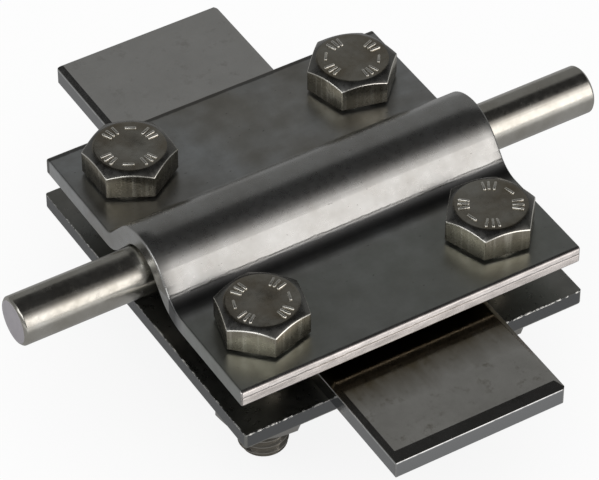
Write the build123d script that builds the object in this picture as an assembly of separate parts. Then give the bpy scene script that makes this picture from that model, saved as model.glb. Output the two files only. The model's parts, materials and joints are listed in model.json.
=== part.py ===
import math
import os

from build123d import *

# Cross clamp block for lightning protection and earthing conductors, in millimetres.
# Two stainless plates, drawn together by four hexagon bolts, hold a round conductor
# across a flat one. The origin is the middle of the lower plate's underside.
# X runs along the round conductor, Y along the flat conductor, Z up.

# Both plates
PLATE_LENGTH = 60.0

# Lower plate
LOWER_DEPTH = 62.0
LOWER_THICKNESS = 3.0
LOWER_EDGE_RADIUS = 0.6
LOWER_CORNER_RADIUS = 0.4

# Upper plate, a folded sheet with a bead along X for the round conductor
UPPER_DEPTH = 60.0
UPPER_THICKNESS = 3.0
UPPER_TOP_RADIUS = 0.5
UPPER_END_RADIUS = 0.3
BEAD_HEIGHT = 7.2
BEAD_INNER_RADIUS = 5.0
BEAD_FLANK_ANGLE = 49.0
FRONT_FOOT_RADIUS = 5.0
REAR_FOOT_RADIUS = 1.5

# Round conductor
ROD_DIAMETER = 8.0
ROD_LENGTH = 102.6
ROD_CHAMFER = 0.4
ROD_OFF_CENTRE = 1.0

# Flat conductor
STRIP_WIDTH = 30.0
STRIP_THICKNESS = 3.5
STRIP_FRONT_REACH = 49.7
STRIP_REAR_REACH = 53.3
STRIP_OFF_CENTRE = -0.6
STRIP_LEFT_CORNER_RADIUS = 0.3
STRIP_RIGHT_CORNER_RADIUS = 0.9
STRIP_EDGE_RADIUS = 0.4
STRIP_END_RADIUS = 0.3

# Sloping bands that the rolls and the shear leave on top of the flat conductor
BAND_DROP = 0.4
SIDE_BAND_WIDTH = 0.9
SIDE_BAND_CREASE_RADIUS = 0.6
SIDE_BAND_EDGE_RADIUS = 0.25
FRONT_BAND_WIDTH = 1.9
FRONT_BAND_CREASE_RADIUS = 1.0
FRONT_BAND_EDGE_RADIUS = 0.2

# Hexagon bolts
BOLT_DIAMETER = 8.0
BOLT_LENGTH = 25.0
BOLT_STRIP_CLEARANCE = 0.65
BOLT_EDGE_DISTANCE = 10.0
BOLTS_OFF_CENTRE = 0.4
BOLT_TIP_CHAMFER = 1.0
HOLE_DIAMETER = 9.0
HEAD_ACROSS_FLATS = 13.0
HEAD_HEIGHT = 5.3
HEAD_CROWN_DIAMETER = 11.5
HEAD_COLLAR_DIAMETER = 11.6
HEAD_COLLAR_HEIGHT = 0.5
HEAD_DISH_DIAMETER = 6.2
HEAD_DISH_DEPTH = 0.25
HEX_CHAMFER_ANGLE = 30.0

# Plain raised ribs on the heads, in two arcs, each with a dash in its middle
RIB_RING_DIAMETER = 8.4
RIB_LENGTH = 1.7
RIB_WIDTH = 0.35
RIB_HEIGHT = 0.22
RIB_ANGLES = (-54.0, -36.0, 36.0, 54.0)

# Hexagon nuts
NUT_ACROSS_FLATS = 13.0
NUT_HEIGHT = 6.5
NUT_CROWN_DIAMETER = 12.2
NUT_BORE_CHAMFER = 0.5

# Fits
THREAD_CLEARANCE = 0.05
REST_GAP = 0.15

# Each bolt: side along X, side along Y, turn of its head, of its ribs and of its nut, in degrees
BOLTS = {
    "rear_left": (-1, 1, 31.6, 58.7, 18.0),
    "rear_right": (1, 1, 46.2, 145.0, 10.0),
    "front_left": (-1, -1, 15.2, 161.0, 44.0),
    "front_right": (1, -1, 50.6, 14.5, 43.0),
}

# Heights that follow from the stack of pieces
strip_top = LOWER_THICKNESS + STRIP_THICKNESS
rod_radius = ROD_DIAMETER / 2
rod_height = strip_top + REST_GAP + rod_radius
flank_angle = math.radians(BEAD_FLANK_ANGLE)
bead_outer_radius = BEAD_INNER_RADIUS + UPPER_THICKNESS
# The rod rests on the strip and against the rear flank, and so sets the upper plate's height
flank_apex_height = rod_height + (
    rod_radius + REST_GAP + ROD_OFF_CENTRE * math.sin(flank_angle)
) / math.cos(flank_angle)
crest_centre_height = flank_apex_height - BEAD_INNER_RADIUS / math.cos(flank_angle)
upper_top = crest_centre_height + bead_outer_radius - BEAD_HEIGHT
upper_bottom = upper_top - UPPER_THICKNESS


def bolt_place(name):
    """Where the axis of one bolt stands on the plates."""
    side_x, side_y = BOLTS[name][:2]
    reach_x = STRIP_WIDTH / 2 + abs(STRIP_OFF_CENTRE) + BOLT_STRIP_CLEARANCE + BOLT_DIAMETER / 2
    reach_y = UPPER_DEPTH / 2 - BOLT_EDGE_DISTANCE
    return side_x * reach_x, side_y * reach_y + BOLTS_OFF_CENTRE


def bolt_holes(low, high):
    """Four clearance holes through a plate between two heights."""
    holes = []
    for name in BOLTS:
        x, y = bolt_place(name)
        hole = Cylinder(HOLE_DIAMETER / 2, 2 * (high - low))
        holes.append(Pos(x, y, (low + high) / 2) * hole)
    return holes


def edges_at(shape, axis, value):
    """Edges that lie wholly in the plane where the given coordinate has this value."""
    return shape.edges().filter_by_position(axis, value - 0.01, value + 0.01)


def lower_plate():
    """Flat sheared plate, its lower edges rounded by the shear."""
    plate = Pos(0, 0, LOWER_THICKNESS / 2) * Box(PLATE_LENGTH, LOWER_DEPTH, LOWER_THICKNESS)
    plate = fillet(plate.edges().filter_by(Axis.Z), LOWER_CORNER_RADIUS)
    plate = fillet(edges_at(plate, Axis.Z, 0), LOWER_EDGE_RADIUS)
    return plate - bolt_holes(0, LOWER_THICKNESS)


def rounded_outline(corners):
    """Face inside straight runs through the corners, each given with its own radius."""
    points = [corner[:2] for corner in corners]
    radii = [corner[2] for corner in corners]
    return make_face(FilletPolyline(*points, radius=radii, close=True))


def bead_outline():
    """Section of the folded upper plate, seen along X, at a constant sheet thickness."""
    inner_apex = crest_centre_height + BEAD_INNER_RADIUS / math.cos(flank_angle)
    outer_apex = crest_centre_height + bead_outer_radius / math.cos(flank_angle)
    inner_foot = (inner_apex - upper_bottom) / math.tan(flank_angle)
    outer_foot = (outer_apex - upper_top) / math.tan(flank_angle)
    half = UPPER_DEPTH / 2
    corners = [
        (-half, upper_top, UPPER_TOP_RADIUS),
        (-outer_foot, upper_top, FRONT_FOOT_RADIUS),
        (0, outer_apex, bead_outer_radius),
        (outer_foot, upper_top, REAR_FOOT_RADIUS),
        (half, upper_top, UPPER_TOP_RADIUS),
        (half, upper_bottom, UPPER_TOP_RADIUS / 2),
        (inner_foot, upper_bottom, REAR_FOOT_RADIUS + UPPER_THICKNESS),
        (0, inner_apex, BEAD_INNER_RADIUS),
        (-inner_foot, upper_bottom, FRONT_FOOT_RADIUS + UPPER_THICKNESS),
        (-half, upper_bottom, UPPER_TOP_RADIUS / 2),
    ]
    return Plane.YZ * rounded_outline(corners)


def upper_plate():
    """Sheet folded over the round conductor, with flat flanges for the bolts."""
    plate = extrude(bead_outline(), PLATE_LENGTH / 2, both=True)
    ends = edges_at(plate, Axis.X, PLATE_LENGTH / 2) + edges_at(plate, Axis.X, -PLATE_LENGTH / 2)
    plate = fillet(ends, UPPER_END_RADIUS)
    return plate - bolt_holes(upper_bottom, upper_top)


def round_conductor():
    """Round bar, lying on the strip and against the rear flank of the bead."""
    bar = Cylinder(rod_radius, ROD_LENGTH)
    bar = chamfer(bar.edges(), ROD_CHAMFER)
    return Pos(0, ROD_OFF_CENTRE, rod_height) * Rot(0, 90, 0) * bar


def flat_conductor():
    """Flat bar that slopes off along both long edges and at its sheared front end."""
    left = STRIP_OFF_CENTRE - STRIP_WIDTH / 2
    right = STRIP_OFF_CENTRE + STRIP_WIDTH / 2
    front, rear = -STRIP_FRONT_REACH, STRIP_REAR_REACH
    band_foot = strip_top - BAND_DROP
    across = [
        (left, LOWER_THICKNESS, STRIP_EDGE_RADIUS),
        (left, band_foot, SIDE_BAND_EDGE_RADIUS),
        (left + SIDE_BAND_WIDTH, strip_top, SIDE_BAND_CREASE_RADIUS),
        (right - SIDE_BAND_WIDTH, strip_top, SIDE_BAND_CREASE_RADIUS),
        (right, band_foot, SIDE_BAND_EDGE_RADIUS),
        (right, LOWER_THICKNESS, STRIP_EDGE_RADIUS),
    ]
    along = [
        (front, LOWER_THICKNESS, STRIP_END_RADIUS),
        (front, band_foot, FRONT_BAND_EDGE_RADIUS),
        (front + FRONT_BAND_WIDTH, strip_top, FRONT_BAND_CREASE_RADIUS),
        (rear, strip_top, STRIP_END_RADIUS),
        (rear, LOWER_THICKNESS, STRIP_END_RADIUS),
    ]
    plan = [
        (left, front, STRIP_LEFT_CORNER_RADIUS),
        (right, front, STRIP_RIGHT_CORNER_RADIUS),
        (right, rear, STRIP_RIGHT_CORNER_RADIUS),
        (left, rear, STRIP_LEFT_CORNER_RADIUS),
    ]
    length = rear - front
    bar = extrude(Plane.XZ * rounded_outline(across), length, both=True)
    bar = bar & extrude(Plane.YZ * rounded_outline(along), STRIP_WIDTH, both=True)
    return bar & extrude(rounded_outline(plan), 2 * strip_top)


def crown(across_flats, crown_diameter, height):
    """Turned envelope that gives a hexagon its 30 degree chamfer at the top."""
    corner = across_flats / math.sqrt(3)
    drop = (corner - crown_diameter / 2) * math.tan(math.radians(HEX_CHAMFER_ANGLE))
    flank = [(corner, height - drop), (corner, 0), (0, 0), (0, height), (crown_diameter / 2, height)]
    return revolve(Plane.XZ * make_face(Polyline(*flank, close=True)), Axis.Z)


def hexagon(across_flats, height):
    """Six-sided prism with a corner on +X, from height 0."""
    return extrude(RegularPolygon(across_flats / math.sqrt(3), 6), height)


def head_ribs(turn):
    """Plain raised ribs in two arcs round the dish of a head, and a dash in each arc."""
    seat = Pos(RIB_RING_DIAMETER / 2, 0, HEAD_HEIGHT)
    rib = Box(RIB_LENGTH, RIB_WIDTH, 2 * RIB_HEIGHT)
    dash = Box(RIB_WIDTH, RIB_LENGTH, 2 * RIB_HEIGHT)
    marks = []
    for arc in (turn, turn + 180):
        marks.append(Rot(0, 0, arc) * seat * dash)
        for angle in RIB_ANGLES:
            marks.append(Rot(0, 0, arc + angle) * seat * rib)
    return marks


def bolt(name):
    """Hexagon bolt with its collar on the upper plate and its tip below the nut."""
    head_turn, rib_turn = BOLTS[name][2:4]
    head = hexagon(HEAD_ACROSS_FLATS, HEAD_HEIGHT)
    head = head & crown(HEAD_ACROSS_FLATS, HEAD_CROWN_DIAMETER, HEAD_HEIGHT)
    below_head = Cylinder(HEAD_ACROSS_FLATS, HEAD_COLLAR_HEIGHT)
    below_head = below_head - Cylinder(HEAD_COLLAR_DIAMETER / 2, HEAD_COLLAR_HEIGHT)
    head = head - Pos(0, 0, HEAD_COLLAR_HEIGHT / 2) * below_head
    dish = Cone(HEAD_DISH_DIAMETER / 2 - HEAD_DISH_DEPTH, HEAD_DISH_DIAMETER / 2, HEAD_DISH_DEPTH)
    head = head - Pos(0, 0, HEAD_HEIGHT - HEAD_DISH_DEPTH / 2) * dish
    head = Rot(0, 0, head_turn) * head + head_ribs(rib_turn)
    shank = Cylinder(BOLT_DIAMETER / 2, BOLT_LENGTH)
    shank = chamfer(edges_at(shank, Axis.Z, -BOLT_LENGTH / 2), BOLT_TIP_CHAMFER)
    x, y = bolt_place(name)
    return Pos(x, y, upper_top) * (head + Pos(0, 0, -BOLT_LENGTH / 2) * shank)


def nut(name):
    """Hexagon nut, chamfered on both faces, seated under the lower plate."""
    top_half = crown(NUT_ACROSS_FLATS, NUT_CROWN_DIAMETER, NUT_HEIGHT)
    bottom_half = Pos(0, 0, NUT_HEIGHT) * Rot(180, 0, 0) * top_half
    body = hexagon(NUT_ACROSS_FLATS, NUT_HEIGHT) & top_half & bottom_half
    bore_radius = BOLT_DIAMETER / 2 + THREAD_CLEARANCE
    bore = Cylinder(bore_radius, NUT_HEIGHT)
    mouth = Cone(bore_radius, bore_radius + NUT_BORE_CHAMFER, NUT_BORE_CHAMFER)
    upper_mouth = Pos(0, 0, NUT_HEIGHT - NUT_BORE_CHAMFER / 2) * mouth
    lower_mouth = Pos(0, 0, NUT_BORE_CHAMFER / 2) * Rot(180, 0, 0) * mouth
    body = body - [Pos(0, 0, NUT_HEIGHT / 2) * bore, upper_mouth, lower_mouth]
    x, y = bolt_place(name)
    return Pos(x, y, -NUT_HEIGHT) * Rot(0, 0, BOLTS[name][4]) * body


pieces = {
    "lower_plate": lower_plate(),
    "upper_plate": upper_plate(),
    "round_conductor": round_conductor(),
    "flat_conductor": flat_conductor(),
}
for name in BOLTS:
    pieces[f"bolt_{name}"] = bolt(name)
    pieces[f"nut_{name}"] = nut(name)

os.makedirs("parts", exist_ok=True)
for name, piece in pieces.items():
    export_step(piece, f"parts/{name}.step")
    print(name, round(piece.volume, 1), "cubic mm")
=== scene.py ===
# %% [markdown]
# # A steel cross clamp, dressed around its engineering model
# Two stainless plates and four hexagon bolts hold a round bar across a flat one.
# The engineering model already has every piece at its real size. This lesson keeps
# those sizes and adds what the eye looks for: cut threads, soft edges that catch
# the light, sheared and scuffed steel, and a quiet studio.

# %% Load the engineering model
import json
import math

import bmesh
import bpy
from mathutils import Matrix, Vector


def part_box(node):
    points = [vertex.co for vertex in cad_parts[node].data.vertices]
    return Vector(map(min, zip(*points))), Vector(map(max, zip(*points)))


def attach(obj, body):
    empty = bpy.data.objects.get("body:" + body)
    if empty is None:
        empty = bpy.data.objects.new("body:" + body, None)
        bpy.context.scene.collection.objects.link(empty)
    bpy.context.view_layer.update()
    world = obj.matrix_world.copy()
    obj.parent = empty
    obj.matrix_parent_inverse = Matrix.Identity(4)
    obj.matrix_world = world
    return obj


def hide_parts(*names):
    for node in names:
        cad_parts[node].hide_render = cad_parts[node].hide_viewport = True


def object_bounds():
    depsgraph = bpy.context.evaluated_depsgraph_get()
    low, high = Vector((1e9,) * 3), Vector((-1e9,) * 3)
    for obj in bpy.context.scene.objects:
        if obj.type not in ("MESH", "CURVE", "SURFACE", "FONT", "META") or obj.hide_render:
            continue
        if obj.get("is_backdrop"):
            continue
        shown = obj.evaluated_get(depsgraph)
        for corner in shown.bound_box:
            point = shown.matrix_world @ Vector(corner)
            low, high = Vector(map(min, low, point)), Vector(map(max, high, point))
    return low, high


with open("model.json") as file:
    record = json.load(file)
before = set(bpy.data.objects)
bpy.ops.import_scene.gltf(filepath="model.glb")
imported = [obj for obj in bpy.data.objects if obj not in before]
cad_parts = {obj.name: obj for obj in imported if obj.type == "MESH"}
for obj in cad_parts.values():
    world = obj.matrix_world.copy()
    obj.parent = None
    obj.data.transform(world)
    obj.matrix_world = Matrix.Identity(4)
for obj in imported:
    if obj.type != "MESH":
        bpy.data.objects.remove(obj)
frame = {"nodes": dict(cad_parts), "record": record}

MM = 0.001
cad_low, cad_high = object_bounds()
print("engineering model", [round(v / MM, 1) for v in (*cad_low, *cad_high)], "mm")

# %% [markdown]
# ## The camera
# The photograph was taken with a long lens, from the left front and well above.
# A camera can be placed by eye, but here its angle, its distance and its lens were
# measured from the straight edges of the plates, so the render lines up with it.

# %% Place the camera
FRAME_WIDTH = 599
SENSOR_WIDTH = 36.0
CAMERA_AZIMUTH = math.radians(-31.2)
CAMERA_ELEVATION = math.radians(43.29)
CAMERA_DISTANCE = 591.2 * MM
FOCAL_PIXELS = 3875.0
AIM = Vector((-5.77 * MM, -6.42 * MM, 11.25 * MM))


def direction(azimuth, elevation):
    """Unit vector from the clamp; azimuth 0 is the front, and grows to the right."""
    level = math.cos(elevation)
    return Vector((math.sin(azimuth) * level, -math.cos(azimuth) * level, math.sin(elevation)))


towards_camera = direction(CAMERA_AZIMUTH, CAMERA_ELEVATION)
camera_data = bpy.data.cameras.new("studio_camera")
camera_data.sensor_width = SENSOR_WIDTH
camera_data.lens = FOCAL_PIXELS * SENSOR_WIDTH / FRAME_WIDTH
camera_data.clip_start = 0.05
camera_data.clip_end = 20.0
camera = bpy.data.objects.new("studio_camera", camera_data)
camera.location = AIM + towards_camera * CAMERA_DISTANCE
camera.rotation_mode = "QUATERNION"
camera.rotation_quaternion = towards_camera.to_track_quat("Z", "Y")
bpy.context.scene.collection.objects.link(camera)
bpy.context.scene.camera = camera
bpy.context.scene.view_settings.view_transform = "Standard"
print("lens", round(camera_data.lens, 1), "mm")

# %% [markdown]
# ## Small helpers
# Every piece below starts as a bmesh, and every finish is a handful of nodes. Both can
# be clicked together in the viewport. A few short functions do the same, stay readable
# and give the same result each time the script runs.


# %% Objects and materials from scratch
def new_object(name, bm, *materials):
    """Turns a bmesh into an object at the origin."""
    mesh = bpy.data.meshes.new(name)
    bm.to_mesh(mesh)
    bm.free()
    for material in materials:
        mesh.materials.append(material)
    made = bpy.data.objects.new(name, mesh)
    bpy.context.scene.collection.objects.link(made)
    return made


def plain_material(name):
    """A node material, with its tree and its surface shader."""
    material = bpy.data.materials.new(name)
    material.use_nodes = True
    return material, *parts_of(material)


def parts_of(material):
    """The node tree of a material and its surface shader."""
    return material.node_tree, material.node_tree.nodes["Principled BSDF"]


def card(name, material, width, height, place):
    """A flat card for the studio, which the camera doesn't see."""
    bm = bmesh.new()
    bm.loops.layers.uv.new("UVMap")
    bmesh.ops.create_grid(bm, x_segments=1, y_segments=1, size=0.5, calc_uvs=True)
    bmesh.ops.scale(bm, vec=(width, height, 1), verts=bm.verts)
    bmesh.ops.transform(bm, matrix=place, verts=bm.verts)
    made = new_object(name, bm, material)
    made.visible_camera = False
    made.visible_shadow = False
    made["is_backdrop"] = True
    return made


def facing(azimuth, elevation, distance):
    """The place of a card or lamp that faces the clamp from this direction."""
    away = direction(math.radians(azimuth), math.radians(elevation))
    return Matrix.Translation(AIM + away * distance) @ away.to_track_quat("Z", "Y").to_matrix().to_4x4()


print("new_object, plain_material, card and facing are ready")


# %% Node helpers
def noise(tree, vector, scale, detail=4.0, roughness=0.5):
    """A noise texture with about this many features to a metre."""
    made = tree.nodes.new("ShaderNodeTexNoise")
    made.inputs["Scale"].default_value = scale
    made.inputs["Detail"].default_value = detail
    made.inputs["Roughness"].default_value = roughness
    tree.links.new(vector, made.inputs["Vector"])
    return made.outputs["Fac"]


def stretched(tree, vector, scale, turn=0.0):
    """The same coordinates, scaled and turned, for a pattern that runs one way."""
    made = tree.nodes.new("ShaderNodeMapping")
    made.inputs["Scale"].default_value = scale
    made.inputs["Rotation"].default_value = (0, 0, turn)
    tree.links.new(vector, made.inputs["Vector"])
    return made.outputs["Vector"]


def span(tree, value, low, high, out_low=0.0, out_high=1.0):
    """Maps a value from one span to another, and stops at the ends."""
    made = tree.nodes.new("ShaderNodeMapRange")
    tree.links.new(value, made.inputs["Value"])
    names = ("From Min", "From Max", "To Min", "To Max")
    for name, number in zip(names, (low, high, out_low, out_high)):
        made.inputs[name].default_value = number
    return made.outputs["Result"]


def relief(tree, height, depth_mm, below=None):
    """A bump of this depth, on top of the relief that is there already."""
    made = tree.nodes.new("ShaderNodeBump")
    made.inputs["Strength"].default_value = 1.0
    made.inputs["Distance"].default_value = depth_mm * MM
    tree.links.new(height, made.inputs["Height"])
    if below is not None:
        tree.links.new(below, made.inputs["Normal"])
    return made.outputs["Normal"]


def mixed(tree, factor, first, second):
    """One colour or number socket blended into another; plain values may stand in."""
    made = tree.nodes.new("ShaderNodeMix")
    made.data_type = "RGBA"
    for socket, value in ((6, first), (7, second)):
        if isinstance(value, tuple):
            made.inputs[socket].default_value = (*value, 1)
        else:
            tree.links.new(value, made.inputs[socket])
    tree.links.new(factor, made.inputs[0])
    return made.outputs[2]


def source_of(socket):
    """What feeds a socket, so that a finish can be laid over the one before."""
    return socket.links[0].from_socket


def arithmetic(tree, operation, first, second=0.0, third=0.0):
    """One step of arithmetic on sockets or plain numbers."""
    made = tree.nodes.new("ShaderNodeMath")
    made.operation = operation
    for socket, value in zip(made.inputs, (first, second, third)):
        if isinstance(value, (int, float)):
            socket.default_value = value
        else:
            tree.links.new(value, socket)
    return made.outputs[0]


def object_place(tree):
    """A piece's own coordinates, in metres."""
    return tree.nodes.new("ShaderNodeTexCoord").outputs["Object"]


def axes(tree):
    """X, Y and Z of a piece in millimetres."""
    split = tree.nodes.new("ShaderNodeSeparateXYZ")
    tree.links.new(object_place(tree), split.inputs[0])
    return [arithmetic(tree, "DIVIDE", split.outputs[axis], MM) for axis in "XYZ"]


def turned_normal(tree, factor, first, second):
    """Blends two normals."""
    made = tree.nodes.new("ShaderNodeMix")
    made.data_type = "VECTOR"
    tree.links.new(factor, made.inputs[0])
    tree.links.new(first, made.inputs[4])
    tree.links.new(second, made.inputs[5])
    return made.outputs[1]


print("node helpers are ready")

# %% [markdown]
# ## The studio
# Bright steel has hardly any colour of its own: it shows the room. The photograph
# shows a dim room with a tall soft light at the front right that fades upward, black
# above, and a white table. A plain lamp would give the bead a hard edge of light, so
# the tall light is a card whose glow fades with height, as a softbox's does.

# %% Dim room, white to the camera
ROOM_GREY = (0.2, 0.2, 0.196)
world = bpy.data.worlds.new("studio_room")
bpy.context.scene.world = world
world.use_nodes = True
tree = world.node_tree
room = tree.nodes["Background"]
room.inputs["Color"].default_value = (*ROOM_GREY, 1)
backdrop = tree.nodes.new("ShaderNodeBackground")
backdrop.inputs["Color"].default_value = (1, 1, 1, 1)
ray = tree.nodes.new("ShaderNodeLightPath")
choose = tree.nodes.new("ShaderNodeMixShader")
tree.links.new(ray.outputs["Is Camera Ray"], choose.inputs[0])
tree.links.new(room.outputs[0], choose.inputs[1])
tree.links.new(backdrop.outputs[0], choose.inputs[2])
tree.links.new(choose.outputs[0], tree.nodes["World Output"].inputs["Surface"])
print("room grey", ROOM_GREY)

# %% [markdown]
# ### The tall light and the side lamp
# The long highlight on the bead is the softbox itself, mirrored in the steel. A lamp
# has one brightness all over, and a card with a colour ramp along its height hasn't,
# so the highlight can end softly at the crest. A plain lamp on the left is enough for
# the small glints on the bolts.

# %% Tall soft light
SOFTBOX_GLOW = 2.2
SOFTBOX_WARMTH = (0.965, 0.935)
# share of the height, and the share of the glow that is left there
SOFTBOX_FADE = ((0.0, 0.95), (0.45, 0.85), (0.62, 0.36), (0.8, 0.1), (1.0, 0.01))
softbox_glow, tree, shader = plain_material("softbox_glow")
tree.nodes.remove(shader)
sheet = tree.nodes.new("ShaderNodeTexCoord")
split = tree.nodes.new("ShaderNodeSeparateXYZ")
fade = tree.nodes.new("ShaderNodeValToRGB")
lit = tree.nodes.new("ShaderNodeEmission")
lit.inputs["Strength"].default_value = SOFTBOX_GLOW
stops = fade.color_ramp.elements
while len(stops) < len(SOFTBOX_FADE):
    stops.new(0.5)
for stop, (height, glow) in zip(stops, SOFTBOX_FADE):
    stop.position = height
    stop.color = (glow, glow * SOFTBOX_WARMTH[0], glow * SOFTBOX_WARMTH[1], 1)
tree.links.new(sheet.outputs["UV"], split.inputs[0])
tree.links.new(split.outputs["Y"], fade.inputs[0])
tree.links.new(fade.outputs["Color"], lit.inputs["Color"])
tree.links.new(lit.outputs[0], tree.nodes["Material Output"].inputs["Surface"])
card("softbox", softbox_glow, 0.84, 1.12, facing(29, 32, 0.9))
print("softbox glows", SOFTBOX_GLOW)


# %% Side lamp
def soft_lamp(name, azimuth, elevation, distance, width, height, brightness):
    """A rectangular lamp that faces the clamp and looks this bright in a mirror."""
    lamp = bpy.data.lights.new(name, "AREA")
    lamp.shape = "RECTANGLE"
    lamp.size = width
    lamp.size_y = height
    lamp.energy = brightness * math.pi * width * height
    holder = bpy.data.objects.new(name, lamp)
    holder.matrix_world = facing(azimuth, elevation, distance)
    bpy.context.scene.collection.objects.link(holder)
    print(name, round(lamp.energy, 2), "W")


soft_lamp("left_lamp", -75, 42, 0.9, 0.9, 0.6, 1.8)

# %% [markdown]
# ### The flags
# The level faces of the plates mirror what is above and behind the clamp, and in the
# photograph that is dark. Dark cloth on a frame, which photographers call a flag, does
# the same here. It glows a little, as cloth in a lit room does, so steel never goes black.

# %% Dark flags overhead
FLAG_HEIGHT = 0.6
FLAG_GREY = 0.028
flag_cloth, tree, shader = plain_material("dark_flag")
tree.nodes.remove(shader)
lit = tree.nodes.new("ShaderNodeEmission")
lit.inputs["Color"].default_value = (FLAG_GREY, FLAG_GREY, FLAG_GREY, 1)
tree.links.new(lit.outputs[0], tree.nodes["Material Output"].inputs["Surface"])
for name, left, right, front, rear in (
    ("flag", -0.7, 1.0, -0.25, 0.33),
    ("side_flag", -0.7, 0.2, 0.33, 0.75),
):
    place = Matrix.Translation(((left + right) / 2, (front + rear) / 2, FLAG_HEIGHT))
    flag = card(name, flag_cloth, right - left, rear - front, place)
    flag.visible_diffuse = False
print("flags at", FLAG_HEIGHT, "m")

# %% [markdown]
# ### The table
# The camera sees the table white, with a soft painted shadow under the clamp. A mirror sees it
# grey beside the clamp, painted grey as the clamp's own shadow, and white further in front.
# Light enough to make a real table that white would burn out the steel, so the table
# is told apart by the kind of ray that reaches it.

# %% White table
TABLE_SIZE = 6.0
TABLE_GAP = 0.05 * MM
TABLE_SHOWN = 0.97
TABLE_MIRRORED = 0.8
# millimetres along Y, and how bright a mirror sees the table there
TABLE_NEAR = (-55, 0.34)
TABLE_FAR = (-110, 0.95)
CONTACT_REACH = 40 * MM
CONTACT_SHADE = 0.08
table_paint, tree, shader = plain_material("white_table")
shader.inputs["Base Color"].default_value = (0.8, 0.8, 0.8, 1)
shader.inputs["Roughness"].default_value = 0.9
ray = tree.nodes.new("ShaderNodeLightPath")
white = tree.nodes.new("ShaderNodeEmission")
white.inputs["Color"].default_value = (1, 1, 1, 1)
# painted shadow: the white that the camera sees dims where the clamp is near
contact = tree.nodes.new("ShaderNodeAmbientOcclusion")
contact.inputs["Distance"].default_value = CONTACT_REACH
shown_strength = span(tree, contact.outputs["AO"], 0.2, 0.95, 1 - CONTACT_SHADE, 1)
tree.links.new(shown_strength, white.inputs["Strength"])
# painted shadow: what a mirror sees is grey near the clamp and white further out
mirrored = tree.nodes.new("ShaderNodeEmission")
x, y, z = axes(tree)
seen_strength = span(tree, y, TABLE_NEAR[0], TABLE_FAR[0], TABLE_NEAR[1], TABLE_FAR[1])
tree.links.new(seen_strength, mirrored.inputs["Strength"])
below = shader
for seen, share, light in (
    ("Is Glossy Ray", TABLE_MIRRORED, mirrored),
    ("Is Camera Ray", TABLE_SHOWN, white),
):
    part = tree.nodes.new("ShaderNodeMath")
    part.operation = "MULTIPLY"
    part.inputs[1].default_value = share
    blend = tree.nodes.new("ShaderNodeMixShader")
    tree.links.new(ray.outputs[seen], part.inputs[0])
    tree.links.new(part.outputs[0], blend.inputs[0])
    tree.links.new(below.outputs[0], blend.inputs[1])
    tree.links.new(light.outputs[0], blend.inputs[2])
    below = blend
tree.links.new(below.outputs[0], tree.nodes["Material Output"].inputs["Surface"])
bm = bmesh.new()
bmesh.ops.create_grid(bm, x_segments=1, y_segments=1, size=TABLE_SIZE / 2)
bmesh.ops.translate(bm, vec=(0, 0, cad_low.z - TABLE_GAP), verts=bm.verts)
table = new_object("table", bm, table_paint)
table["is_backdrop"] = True
print("table at", round(cad_low.z / MM, 2), "mm")

# %% [markdown]
# ## Steel
# Every piece is stainless, but each was made another way: sheet, drawn bar, rolled
# strip, forged bolts. One helper builds a steel from a tint, a roughness and three
# textures in the piece's own coordinates: cloudy mottling, fine grain and scratches.
# A photo texture would be quicker, but noise in real millimetres stays sharp close up.


# %% A steel from noise
def steel(name, dark, light, rough, grain_mm, scratch=None):
    """Stainless steel with mottled tint and roughness, fine grain and scratches."""
    material, tree, shader = plain_material(name)
    place = tree.nodes.new("ShaderNodeTexCoord").outputs["Object"]
    shader.inputs["Metallic"].default_value = 1.0
    clouds = noise(tree, place, 180, 5.0, 0.6)
    tint = mixed(tree, span(tree, clouds, 0.3, 0.7), dark, light)
    tree.links.new(tint, shader.inputs["Base Color"])
    spots = noise(tree, place, 900, 4.0, 0.6)
    tree.links.new(span(tree, spots, 0.3, 0.7, *rough), shader.inputs["Roughness"])
    normal = relief(tree, noise(tree, place, 2600, 3.0, 0.6), grain_mm)
    if scratch:
        depth_mm, turn = scratch
        along = stretched(tree, place, (25, 1400, 1400), turn)
        lines = span(tree, noise(tree, along, 1.0, 2.0, 0.5), 0.25, 0.42)
        normal = relief(tree, lines, depth_mm, normal)
    tree.links.new(normal, shader.inputs["Normal"])
    return material


print("steel is ready")

# %% [markdown]
# ### The folded plate
# Sheet, sheared to size and folded over a bar. Its long front edge shows the two
# bright bands that a shear leaves, a smooth one over a torn one. Where the press
# nosed the foot of the bead it left a rough line. These marks belong to places on the
# plate, so they are found by millimetres and not painted by hand.

# %% Flanges of the folded plate
FRONT_FLANGE = -11.5
FLANGE_TOP = (11.6, 12.4)
REAR_RIM = 29.1
folded_steel = steel(
    "folded_plate_steel", (0.45, 0.445, 0.43), (0.57, 0.575, 0.57), (0.26, 0.31), 0.002, (0.002, 0.0),
)
tree, shader = parts_of(folded_steel)
place = object_place(tree)
x, y, z = axes(tree)
wobble = noise(tree, place, 500, 4.0, 0.7)
stains = noise(tree, place, 60, 3.0, 0.5)
level = span(tree, z, *FLANGE_TOP, 1, 0)
rough = arithmetic(tree, "MULTIPLY_ADD", level, 0.05, source_of(shader.inputs["Roughness"]))

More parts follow.
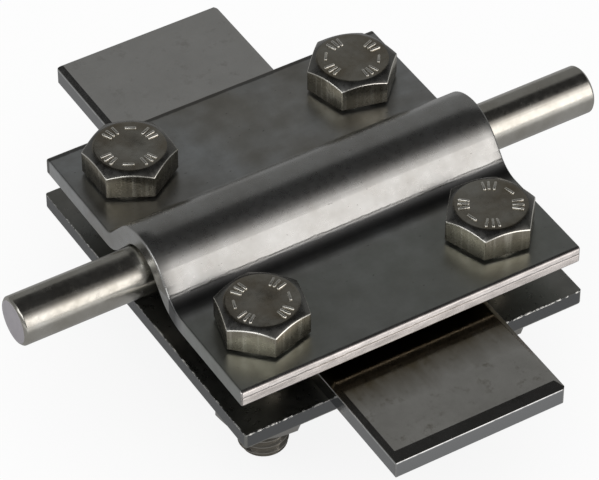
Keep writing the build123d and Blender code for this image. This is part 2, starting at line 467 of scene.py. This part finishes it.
# pale streaks and brown stains on both flanges, and a duller front flange
drawn = noise(tree, stretched(tree, place, (22, 70, 70)), 1.0, 5.0, 0.6)
pale = arithmetic(tree, "MULTIPLY", level, span(tree, drawn, 0.45, 0.65, 0, 0.8))
tint = mixed(tree, pale, source_of(shader.inputs["Base Color"]), (0.7, 0.73, 0.75))
brown = arithmetic(tree, "MULTIPLY", level, span(tree, stains, 0.5, 0.7, 0, 0.6))
tint = mixed(tree, brown, tint, (0.42, 0.385, 0.32))
flange = span(tree, y, FRONT_FLANGE - 3, FRONT_FLANGE, 1, 0)
dull = arithmetic(tree, "MULTIPLY", flange, span(tree, stains, 0.3, 0.7, 0.55, 0.9))
tint = mixed(tree, dull, tint, (0.43, 0.455, 0.43))
cloudy = span(tree, noise(tree, place, 240, 6.0, 0.65), 0.35, 0.65, 0, 0.3)
tint = mixed(tree, arithmetic(tree, "MULTIPLY", level, cloudy), tint, (0.25, 0.25, 0.23))

# the rolled rim at the rear painted dark as shade, and small nicks all over
rim = arithmetic(tree, "MULTIPLY_ADD", wobble, 0.5, y)
tint = mixed(tree, span(tree, rim, REAR_RIM, REAR_RIM + 0.2, 0, 0.75), tint, (0.12, 0.118, 0.11))
nicks = noise(tree, stretched(tree, place, (1100, 2200, 2200)), 1.0, 2.0, 0.5)
tint = mixed(tree, span(tree, nicks, 0.72, 0.76, 0, 0.6), tint, (0.12, 0.11, 0.1))
print("flanges", len(tree.nodes), "nodes")

# %% Bead of the folded plate
FOOT_LINE = -8.6
FOOT_SHADE = 0.85
SHEET_END = 30.0
ROLLOVER = 2.6

# below its line the foot of the bead is painted dark as shade, where the concave foot mirrors the dark
# room
foot_shade = span(tree, y, FOOT_LINE - 0.15, FOOT_LINE + 0.1, FOOT_SHADE, 0)
foot_shade = arithmetic(tree, "MULTIPLY", foot_shade, span(tree, y, FRONT_FLANGE - 1.2, FRONT_FLANGE + 1.2))
tint = mixed(tree, foot_shade, tint, (0.05, 0.052, 0.055))

# rough line where the press nosed the foot
off_line = arithmetic(tree, "ABSOLUTE", arithmetic(tree, "SUBTRACT", y, FOOT_LINE))
off_line = arithmetic(tree, "MULTIPLY_ADD", wobble, 0.5, off_line)
line = arithmetic(tree, "MULTIPLY", span(tree, off_line, 0.28, 0.46, 1, 0), span(tree, y, -6, -7))
normal = relief(tree, line, 0.03, source_of(shader.inputs["Normal"]))

# the ends of the bead roll over a little, so they mirror another part of the room
end = arithmetic(tree, "SUBTRACT", SHEET_END, arithmetic(tree, "ABSOLUTE", x))
end = arithmetic(tree, "MULTIPLY_ADD", stains, 1.5, end)
fall = arithmetic(tree, "POWER", span(tree, end, 0.7, ROLLOVER + 0.7, 1, 0), 2.0)
fall = arithmetic(tree, "MULTIPLY", fall, span(tree, z, 12.5, 14))
normal = relief(tree, fall, -0.3, normal)
print("bead", len(tree.nodes), "nodes")

# %% Sheared edges of the folded plate
SHEARED_FROM = 29.6
SHEARED_TINT = (0.68, 0.645, 0.63)
SHEAR_LEAN = 0.45
BAND_SPLIT = 9.9
wall = span(tree, arithmetic(tree, "ABSOLUTE", y), SHEARED_FROM, SHEARED_FROM + 0.1)

# two bands with a groove between them, both leaning upward
above = arithmetic(tree, "SUBTRACT", z, BAND_SPLIT + 0.25)
above = arithmetic(tree, "MULTIPLY_ADD", wobble, 0.5, above)
groove = span(tree, arithmetic(tree, "ABSOLUTE", above), 0.0, 0.22, 0, 1)
grain = noise(tree, stretched(tree, place, (1500, 1, 120)), 1.0, 3.0, 0.6)
lean = arithmetic(tree, "MULTIPLY", z, -SHEAR_LEAN)
lean = arithmetic(tree, "MULTIPLY_ADD", groove, 0.06, lean)
lean = arithmetic(tree, "MULTIPLY_ADD", grain, 0.03, lean)
normal = turned_normal(tree, wall, normal, relief(tree, lean, 1.0))

# the lower band is torn, so it is darker, and the groove between the bands is painted dark as shade
patches = noise(tree, stretched(tree, place, (220, 1, 900)), 1.0, 4.0, 0.7)
wear_and_groove_shade = arithmetic(
    tree, "MULTIPLY", span(tree, patches, 0.35, 0.65, 0.45, 1.0), span(tree, groove, 0, 1, 0.65, 1.0),
)
wear_and_groove_shade = arithmetic(tree, "MULTIPLY", wear_and_groove_shade, span(tree, above, -0.15, 0.1, 0.62, 1.0))
tint = mixed(tree, wall, tint, mixed(tree, wear_and_groove_shade, (0.16, 0.148, 0.14), SHEARED_TINT))
rough = arithmetic(tree, "MULTIPLY_ADD", wall, -0.06, rough)
for name, finish in (("Base Color", tint), ("Roughness", rough), ("Normal", normal)):
    tree.links.new(finish, shader.inputs[name])
print("folded plate", len(tree.nodes), "nodes")

# %% [markdown]
# ### The strip
# The strip is bright cold-rolled stock, the most mirror-like piece of the clamp. Where
# it goes under the plates and next to them it is painted dark brown with a ragged edge: a stain,
# and painted shade from the plates. Its cut ends and its rolled sides are duller than its faces.
# The stain and shade could be painted on a UV map, but a noise added to the distance from
# the plates needs no map and stays sharp.

# %% Steel of the strip
QUARTER_TURN = math.pi / 2
# how far the upper face slopes down to its edges
BAND_DROP = 0.4
STAIN_AND_SHADE_REACH = 6.5
STAIN_AND_SHADE_TINT = (0.16, 0.13, 0.08)
CUT_END_TINT = (0.34, 0.345, 0.35)
CLEANER_REAR = 0.45
strip_steel = steel(
    "rolled_strip_steel", (0.55, 0.54, 0.51), (0.65, 0.64, 0.61), (0.09, 0.19), 0.0015,
    (0.003, QUARTER_TURN),
)
tree, shader = parts_of(strip_steel)
place = object_place(tree)
x, y, z = axes(tree)
low, high = (Vector(corner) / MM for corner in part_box("flat_conductor"))

# stain and painted shade under the plates and just in front of them, with spots of dirt all over
# that thin out at the cleaner rear
stain_and_shade = arithmetic(tree, "SUBTRACT", -SHEET_END, y)
ragged = noise(tree, stretched(tree, place, (260, 60, 60)), 1.0, 5.0, 0.65)
stain_and_shade = arithmetic(tree, "MULTIPLY_ADD", ragged, STAIN_AND_SHADE_REACH, stain_and_shade)
stain_and_shade = span(tree, stain_and_shade, STAIN_AND_SHADE_REACH, 2 * STAIN_AND_SHADE_REACH, 0.95, 0)
stain_and_shade = arithmetic(tree, "MULTIPLY", stain_and_shade, span(tree, y, 10, 20, 1, 0))
tint = mixed(tree, stain_and_shade, source_of(shader.inputs["Base Color"]), STAIN_AND_SHADE_TINT)
dirt = noise(tree, place, 320, 6.0, 0.75)
tint = mixed(tree, span(tree, dirt, 0.56, 0.72, 0, 0.6), tint, STAIN_AND_SHADE_TINT)
tint = mixed(tree, span(tree, y, 15, 30, 0, CLEANER_REAR), tint, (0.8, 0.8, 0.8))

# duller ends and sides, with a thin line along their upper edge painted bright as the burr's glint
edge = high.z - BAND_DROP
burr_and_glint = arithmetic(tree, "MULTIPLY", span(tree, z, edge - 0.3, edge - 0.2), span(tree, dirt, 0.35, 0.5))
cut_tint = mixed(tree, burr_and_glint, CUT_END_TINT, (0.72, 0.73, 0.73))
front_cut = span(tree, y, low.y + 0.02, low.y + 0.12, 1, 0)
rear_cut = span(tree, y, high.y - 0.12, high.y - 0.02)
from_middle = arithmetic(tree, "SUBTRACT", x, (low.x + high.x) / 2)
side = (high.x - low.x) / 2
side_cut = span(tree, arithmetic(tree, "ABSOLUTE", from_middle), side - 0.1, side - 0.02)
cut = arithmetic(tree, "MAXIMUM", arithmetic(tree, "MAXIMUM", front_cut, rear_cut), side_cut)
tree.links.new(mixed(tree, cut, tint, cut_tint), shader.inputs["Base Color"])
print("strip", len(tree.nodes), "nodes")

# %% [markdown]
# ### The lower plate
# This plate was sheared from dull sheet, and the shear left a thin bright burr round
# its upper face. A bevel on the mesh would be as bright all along. Here the burr is a
# slope in the material, painted lighter as a glint and cut up by noise, so that it glints
# in short lengths. Its sides are painted dark as shade.

# %% Steel of the lower plate
BURR_WIDTH = 0.18
BURR_FALL = 0.14
SIDE_SHADE_TINT = (0.2, 0.205, 0.21)
PLATE_END = 30.0
PLATE_EDGE = 31.0
lower_steel = steel("sheared_plate_steel", (0.32, 0.32, 0.3), (0.42, 0.42, 0.4), (0.26, 0.34), 0.0012)
tree, shader = parts_of(lower_steel)
place = object_place(tree)
x, y, z = axes(tree)
top_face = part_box("lower_plate")[1][2] / MM
across = span(tree, arithmetic(tree, "ABSOLUTE", x), PLATE_END - BURR_WIDTH, PLATE_END)
along = span(tree, arithmetic(tree, "ABSOLUTE", y), PLATE_EDGE - BURR_WIDTH, PLATE_EDGE)
border = arithmetic(tree, "MAXIMUM", across, along)

# sheared sides painted dark as shade, and a burr in short lengths round the top, painted lighter as a
# glint
below_top = span(tree, z, top_face - 0.1, top_face, 1, 0)
side = arithmetic(tree, "MULTIPLY", span(tree, border, 0.95, 1), below_top)
tint = mixed(tree, side, source_of(shader.inputs["Base Color"]), SIDE_SHADE_TINT)
broken = span(tree, noise(tree, place, 1200, 3.0, 0.7), 0.46, 0.6)
top = span(tree, z, top_face - 0.2, top_face - 0.02)
burr_and_glint = arithmetic(tree, "MULTIPLY", arithmetic(tree, "MULTIPLY", border, broken), top)
tint = mixed(tree, span(tree, burr_and_glint, 0, 0.2), tint, (0.62, 0.62, 0.6))
tree.links.new(tint, shader.inputs["Base Color"])

# the burr falls away outward, so that some of it mirrors the softbox
normal = relief(tree, burr_and_glint, -BURR_FALL, source_of(shader.inputs["Normal"]))
tree.links.new(normal, shader.inputs["Normal"])
print("lower plate", len(tree.nodes), "nodes")

# %% [markdown]
# ### Bar, bolts and nuts
# Drawn bar is finely scored along its length. The bolts are forged: brownish on top,
# painted dark on the chamfer as shade, streaked up and down on the flats by the die they were pressed
# in, and bright where hands and spanners have worn them, brighter still as a painted highlight.
# Each of these is a steel of its own, and the faces of a head are shared out among them.

# %% Steels of the bar, the bolts and the nuts
steels = {
    "folded_plate": folded_steel,
    "sheared_plate": lower_steel,
    "rolled_strip": strip_steel,
    "drawn_bar": steel(
        "drawn_bar_steel", (0.5, 0.48, 0.43), (0.66, 0.645, 0.6), (0.15, 0.28), 0.006, (0.003, 0.0),
    ),
    "bolt_steel": steel("bolt_steel", (0.27, 0.235, 0.18), (0.45, 0.44, 0.4), (0.14, 0.3), 0.004),
    "nut_steel": steel("nut_steel", (0.36, 0.35, 0.33), (0.48, 0.47, 0.45), (0.22, 0.36), 0.003),
}
# marks and worn edges: bright from wear, and brighter still as a painted highlight
glint_and_wear_steel = steel("worn_and_glint_steel", (0.88, 0.86, 0.78), (0.95, 0.93, 0.88), (0.2, 0.32), 0.002)
# the chamfer's darker steel is painted shade
chamfer_shade_steel = steel("shaded_chamfer_steel", (0.2, 0.195, 0.18), (0.32, 0.32, 0.31), (0.2, 0.36), 0.005)
thread_steel = steel("rolled_thread_steel", (0.36, 0.34, 0.31), (0.52, 0.5, 0.46), (0.08, 0.2), 0.003)
sawn_steel = steel("sawn_end_steel", (0.6, 0.57, 0.61), (0.72, 0.69, 0.73), (0.34, 0.5), 0.006)
sawn_steel.node_tree.nodes["Principled BSDF"].inputs["Metallic"].default_value = 0.55

flat_steel = steel("pressed_flat_steel", (0.22, 0.2, 0.155), (0.4, 0.37, 0.3), (0.22, 0.34), 0.003)
tree, shader = parts_of(flat_steel)
streaks = noise(tree, stretched(tree, object_place(tree), (1100, 1100, 40)), 1.0, 3.0, 0.6)
bright = span(tree, streaks, 0.5, 0.68, 0, 0.7)
tint = mixed(tree, bright, source_of(shader.inputs["Base Color"]), (0.6, 0.57, 0.49))
tree.links.new(tint, shader.inputs["Base Color"])
tree.links.new(relief(tree, streaks, 0.03, source_of(shader.inputs["Normal"])), shader.inputs["Normal"])
print(len(steels) + 5, "steels")

# %% Steel on the engineering model
slot_of = {entry["node"]: entry["material_slot"] for entry in frame["record"]["subparts"]}
for node, slot in slot_of.items():
    made = frame["nodes"][node]
    made.data.materials.clear()
    made.data.materials.append(steels[slot])
print(len(slot_of), "pieces have their steel")

# %% [markdown]
# ## Turning and milling
# A bolt head and a nut start as the same thing: a round blank with a 30 degree
# chamfer, from which six flats are pressed or milled. The mesh can be made the same
# way. A half section is spun about Z, and six planes cut the flats. The arcs where
# the cone meets each flat then come out by themselves, which is what makes a
# hexagon look real; a six-sided cylinder with a bevel never has them.

# %% Helpers for turned and milled pieces
ACROSS_FLATS = 13.0
BLANK_STEPS = 96
CRISP_ANGLE = math.radians(38)


def whole(bm):
    """Everything in a bmesh, as an operator's geometry."""
    return bm.verts[:] + bm.edges[:] + bm.faces[:]


def turned(outline, steps=BLANK_STEPS):
    """Spins a half section of (radius, height) points in mm about Z."""
    bm = bmesh.new()
    chain = [bm.verts.new((radius * MM, 0, height * MM)) for radius, height in outline]
    edges = [bm.edges.new(pair) for pair in zip(chain, chain[1:])]
    bmesh.ops.spin(
        bm, geom=chain + edges, cent=(0, 0, 0), axis=(0, 0, 1),
        angle=math.tau, steps=steps, use_merge=True,
    )
    bmesh.ops.remove_doubles(bm, verts=bm.verts, dist=0.0005 * MM)
    bmesh.ops.recalc_face_normals(bm, faces=bm.faces)
    return bm


def slice_off(bm, point, outward):
    """Cuts away what lies outside a plane and closes the cut."""
    cut = bmesh.ops.bisect_plane(
        bm, geom=whole(bm), dist=0.0001 * MM, plane_co=point, plane_no=outward, clear_outer=True,
    )
    rim = [edge for edge in cut["geom_cut"] if isinstance(edge, bmesh.types.BMEdge)]
    bmesh.ops.holes_fill(bm, edges=rim)


def mill_flats(bm, across_flats):
    """Cuts six flats, so that a corner points along X."""
    for index in range(6):
        outward = Matrix.Rotation(math.radians(30 + 60 * index), 3, "Z") @ Vector((1, 0, 0))
        slice_off(bm, outward * across_flats / 2 * MM, outward)


def soften(bm, width_mm, segments=2, where=lambda edge: True):
    """Rounds the crisp edges a little, shades the rest smooth."""
    bm.normal_update()
    crisp = [
        edge for edge in bm.edges
        if edge.is_manifold and edge.calc_face_angle() > CRISP_ANGLE and where(edge)
    ]
    rounded = bmesh.ops.bevel(
        bm, geom=crisp, offset=width_mm * MM, offset_type="OFFSET", affect="EDGES",
        segments=segments, profile=0.5, material=-1, clamp_overlap=True,
    )
    shade(bm)
    return rounded["faces"]


def shade(bm):
    """Smooth faces, with a hard line only where the surface really turns."""
    bm.normal_update()
    for face in bm.faces:
        face.smooth = True
    for edge in bm.edges:
        edge.smooth = not edge.is_manifold or edge.calc_face_angle() < math.radians(40)


def dress(name, bm, replaced, body, *finishes):
    """Makes the finished piece, gives it its steel and lets it stand for its node."""
    piece = new_object(name, bm, steels[slot_of[replaced]], *finishes)
    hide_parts(replaced)
    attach(piece, body)
    return piece


body_of = {node: body for body, held in frame["record"]["behaviour"]["bodies"].items() for node in held}
print("turned, mill_flats and soften are ready")

# %% [markdown]
# ## The bolts
# These are M8 by 25 mm set screws, threaded almost to the head. The head is pressed
# with a shallow dish and raised marks. The thread is a true helix: one pitch of its
# outline is spun and lifted by a pitch each turn, so it catches the light as a screw
# does, which rings or a bump map would not.

# %% Head of a bolt
HEAD_HEIGHT = 5.3
CROWN_RADIUS = 5.75
CROWN_EASE = 0.35
BLANK_RADIUS = 7.8
CHAMFER_SLOPE = math.tan(math.radians(30))
COLLAR_RADIUS = 5.8
COLLAR_HEIGHT = 0.5
DISH_RADIUS = 3.1
DISH_DEPTH = 0.1
NECK_RADIUS = 3.6
NECK_LENGTH = 2.0


def paint_hexagon(bm):
    """Gives the six flats the piece's second finish, and the chamfer its third, a darker steel that
    paints shade.
    """
    for face in bm.faces:
        centre = face.calc_center_median().xy
        outward = Vector((face.normal.x, face.normal.y))
        if outward.length > 0.9 and outward.dot(centre) > (ACROSS_FLATS / 2 - 0.15) * MM:
            face.material_index = 1
        elif 0.3 < outward.length < 0.9 and centre.length > CROWN_RADIUS * MM:
            face.material_index = 2


def bolt_head():
    """Head and neck of a bolt, with the seat of the head at height 0."""
    shoulder = HEAD_HEIGHT - (BLANK_RADIUS - CROWN_RADIUS) * CHAMFER_SLOPE
    dish = [
        (DISH_RADIUS * share, HEAD_HEIGHT - DISH_DEPTH * (1 + math.cos(math.pi * share)) / 2)
        for share in (0, 0.3, 0.45, 0.6, 0.7, 0.8, 0.9, 1)
    ]
    crown = [
        (CROWN_RADIUS + CROWN_EASE * ahead, HEAD_HEIGHT - drop * CROWN_EASE * CHAMFER_SLOPE)
        for ahead, drop in ((-1, 0), (-0.4, 0.09), (0.2, 0.36), (1, 1))
    ]
    bm = turned([
        *dish,
        *crown,
        (BLANK_RADIUS, shoulder),
        (BLANK_RADIUS, COLLAR_HEIGHT),
        (COLLAR_RADIUS, COLLAR_HEIGHT),
        (COLLAR_RADIUS, 0),
        (NECK_RADIUS, 0),
        (NECK_RADIUS, -NECK_LENGTH),
        (0, -NECK_LENGTH),
    ])
    mill_flats(bm, ACROSS_FLATS)
    rounded = soften(bm, 0.12)
    paint_hexagon(bm)
    # the edges round the chamfer are worn bright, and painted brighter as a highlight
    for face in rounded:
        centre = face.calc_center_median()
        if centre.z > HEAD_HEIGHT / 2 * MM and centre.xy.length > CROWN_RADIUS * MM:
            face.material_index = 3
    return bm


print("head", len(bolt_head().faces), "faces")

# %% [markdown]
# ### Raised marks
# The die leaves raised marks on a forged head. Here they are plain ribs in two arcs
# round the dish, with a dash in the middle of each. Every one is a box with rounded
# edges, sunk a little into the head: a boolean would break the head's clean mesh.

# %% Raised marks
MARK_RING_RADIUS = 4.2
MARK_LENGTH = 1.9
MARK_WIDTH = 0.5
MARK_HEIGHT = 0.26
MARK_SINK = 0.15
MARK_ROUNDING = 0.2
MARK_ANGLES = (-58, -47, -34, 34, 47, 58)


def raised_marks(turn):
    """Two arcs of plain ribs round the dish, and a dash in the middle of each."""
    bm = bmesh.new()
    for arc in (turn, turn + 180):
        for angle, length, width in (
            (0, MARK_WIDTH, MARK_LENGTH),
            *((angle, MARK_LENGTH, MARK_WIDTH) for angle in MARK_ANGLES),
        ):
            cube = bmesh.ops.create_cube(bm, size=1.0)["verts"]
            size = Vector((length, width, MARK_HEIGHT + MARK_SINK)) * MM
            seat = Vector((MARK_RING_RADIUS, 0, HEAD_HEIGHT + (MARK_HEIGHT - MARK_SINK) / 2)) * MM
            place = Matrix.Rotation(math.radians(arc + angle), 4, "Z") @ Matrix.Translation(seat)
            bmesh.ops.scale(bm, vec=size, verts=cube)
            bmesh.ops.transform(bm, matrix=place, verts=cube)
    bmesh.ops.bevel(
        bm, geom=bm.edges[:], offset=MARK_ROUNDING * MM, offset_type="OFFSET", affect="EDGES",
        segments=4, profile=0.5, material=-1, clamp_overlap=True,
    )
    for face in bm.faces:
        face.smooth = True
        # the marks get the bright steel, which paints a highlight on them as well as wear
        face.material_index = 3
    return bm


print("marks", len(raised_marks(0).faces), "faces")

# %% [markdown]
# ### Thread
# The outline of one pitch is spun and lifted in one go, which leaves a ragged end above
# and below. Two planes cut the thread to length, and a ring of slanting planes cuts the
# chamfer at the tip, as a turning tool would.

# %% Thread
THREAD_RADIUS = 3.98
ROOT_RADIUS = 3.25
PITCH = 1.25
BOLT_LENGTH = 25.0
TIP_CHAMFER = 1.0
THREAD_STEPS = 48
TIP_FACETS = 48


def thread():
    """Right-hand thread from just under the head to the chamfered tip."""
    # root, flank, narrow crest, flank: one pitch of the ISO outline
    outline = (
        (ROOT_RADIUS, 0),
        (ROOT_RADIUS, 0.22),
        (THREAD_RADIUS, 0.56),
        (THREAD_RADIUS, 0.66),
        (ROOT_RADIUS, 1),
    )
    first = -BOLT_LENGTH - PITCH
    turns = math.ceil((BOLT_LENGTH - NECK_LENGTH + 2 * PITCH) / PITCH)
    bm = bmesh.new()
    chain = [bm.verts.new((radius * MM, 0, (first + share * PITCH) * MM)) for radius, share in outline]
    edges = [bm.edges.new(pair) for pair in zip(chain, chain[1:])]
    bmesh.ops.spin(
        bm, geom=chain + edges, cent=(0, 0, 0), axis=(0, 0, 1), angle=math.tau * turns,
        steps=THREAD_STEPS * turns, dvec=(0, 0, PITCH / THREAD_STEPS * MM),
    )
    bmesh.ops.remove_doubles(bm, verts=bm.verts, dist=0.001 * MM)
    bmesh.ops.recalc_face_normals(bm, faces=bm.faces)
    slice_off(bm, Vector((0, 0, -BOLT_LENGTH * MM)), Vector((0, 0, -1)))
    slice_off(bm, Vector((0, 0, (0.3 - NECK_LENGTH) * MM)), Vector((0, 0, 1)))
    tip_radius = THREAD_RADIUS - TIP_CHAMFER
    for index in range(TIP_FACETS):
        spoke = Matrix.Rotation(math.tau * index / TIP_FACETS, 3, "Z") @ Vector((1, 0, 0))
        rim = spoke * tip_radius * MM + Vector((0, 0, -BOLT_LENGTH * MM))
        slice_off(bm, rim, (spoke + Vector((0, 0, -1))).normalized())
    shade(bm)
    for face in bm.faces:
        face.material_index = 4
    return bm


print("thread", len(thread().faces), "faces")

# %% [markdown]
# A real screw has head and thread in one piece. Here the thread's mesh starts inside
# the neck under the head, and both are kept as one object. The four bolts differ
# only in how far each one is turned, so one function makes them all.

# %% The four bolts
# head turn and mark turn in degrees, read off the photograph
BOLT_TURNS = {
    "bolt_rear_left": (31.6, 58.7),
    "bolt_rear_right": (46.2, 145.0),
    "bolt_front_left": (15.2, 161.0),
    "bolt_front_right": (50.6, 14.5),
}


def gather(bm, part):
    """Adds a bmesh to another and frees it."""
    mesh = bpy.data.meshes.new("part")
    part.to_mesh(mesh)
    part.free()
    bm.from_mesh(mesh)
    bpy.data.meshes.remove(mesh)


def middle(node):
    """The middle of an engineering node's box, seen from above."""
    low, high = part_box(node)
    return (low[0] + high[0]) / 2, (low[1] + high[1]) / 2, low[2]


for node, (head_turn, mark_turn) in BOLT_TURNS.items():
    x, y, tip = middle(node)
    bm = bolt_head()
    turn = Matrix.Rotation(math.radians(head_turn), 3, "Z")
    bmesh.ops.rotate(bm, cent=(0, 0, 0), matrix=turn, verts=bm.verts)
    gather(bm, raised_marks(mark_turn))
    gather(bm, thread())
    bmesh.ops.translate(bm, vec=(x, y, tip + BOLT_LENGTH * MM), verts=bm.verts)
    name = node.replace("bolt_", "bolt.", 1)
    dress(name, bm, node, body_of[node], flat_steel, chamfer_shade_steel, glint_and_wear_steel, thread_steel)
    print(node, round(x / MM, 2), round(y / MM, 2), round(tip / MM, 2))

# %% [markdown]
# ## The nuts
# A nut is the same blank, chamfered on both faces and bored. The bore is part of the
# half section, so it needs no cutting, and its mouths are chamfered as a tap leaves
# them. The bolt fills the rest of the bore.

# %% The four nuts
NUT_HEIGHT = 6.5
NUT_CROWN_RADIUS = 6.1
BORE_RADIUS = 4.05
BORE_CHAMFER = 0.5
NUT_TURNS = {
    "nut_rear_left": 18.0,
    "nut_rear_right": 10.0,
    "nut_front_left": 44.0,
    "nut_front_right": 43.0,
}

for node, nut_turn in NUT_TURNS.items():
    cone = (BLANK_RADIUS - NUT_CROWN_RADIUS) * CHAMFER_SLOPE
    bm = turned([
        (BORE_RADIUS, BORE_CHAMFER),
        (BORE_RADIUS + BORE_CHAMFER, 0),
        (NUT_CROWN_RADIUS, 0),
        (BLANK_RADIUS, cone),
        (BLANK_RADIUS, NUT_HEIGHT - cone),
        (NUT_CROWN_RADIUS, NUT_HEIGHT),
        (BORE_RADIUS + BORE_CHAMFER, NUT_HEIGHT),
        (BORE_RADIUS, NUT_HEIGHT - BORE_CHAMFER),
        (BORE_RADIUS, BORE_CHAMFER),
    ])
    mill_flats(bm, ACROSS_FLATS)
    soften(bm, 0.1)
    x, y, bottom = middle(node)
    turn = Matrix.Rotation(math.radians(nut_turn), 3, "Z")
    bmesh.ops.rotate(bm, cent=(0, 0, 0), matrix=turn, verts=bm.verts)
    bmesh.ops.translate(bm, vec=(x, y, bottom), verts=bm.verts)
    dress(node.replace("nut_", "nut.", 1), bm, node, body_of[node])
    print(node, "from", round(bottom / MM, 2), "mm")

# %% [markdown]
# ## The round bar
# Cold-drawn stainless bar, sawn to length and deburred. Its ends get a short chamfer
# with rounded edges: that ring is what glints at the left end in the photograph.

# %% The round bar
ROD_RADIUS = 4.0
ROD_CHAMFER = 0.4
low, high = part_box("round_conductor")
half = (high[0] - low[0]) / 2 / MM
bm = turned([
    (0, -half),
    (ROD_RADIUS - ROD_CHAMFER, -half),
    (ROD_RADIUS, ROD_CHAMFER - half),
    (ROD_RADIUS, half - ROD_CHAMFER),
    (ROD_RADIUS - ROD_CHAMFER, half),
    (0, half),
])
soften(bm, 0.12, 3)
for face in bm.faces:
    face.material_index = 1 if abs(face.normal.z) > 0.99 else 0
bmesh.ops.rotate(bm, cent=(0, 0, 0), matrix=Matrix.Rotation(math.radians(90), 3, "Y"), verts=bm.verts)
bmesh.ops.translate(bm, vec=[(a + b) / 2 for a, b in zip(low, high)], verts=bm.verts)
dress("round_bar", bm, "round_conductor", body_of["round_conductor"], sawn_steel)
print("bar", round(2 * half, 1), "mm long")

# %% [markdown]
# ## Sizes
# The dressed model has to stay inside the engineering model. Its box is measured again
# here.

# %% Sizes of the dressed model
low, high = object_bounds()
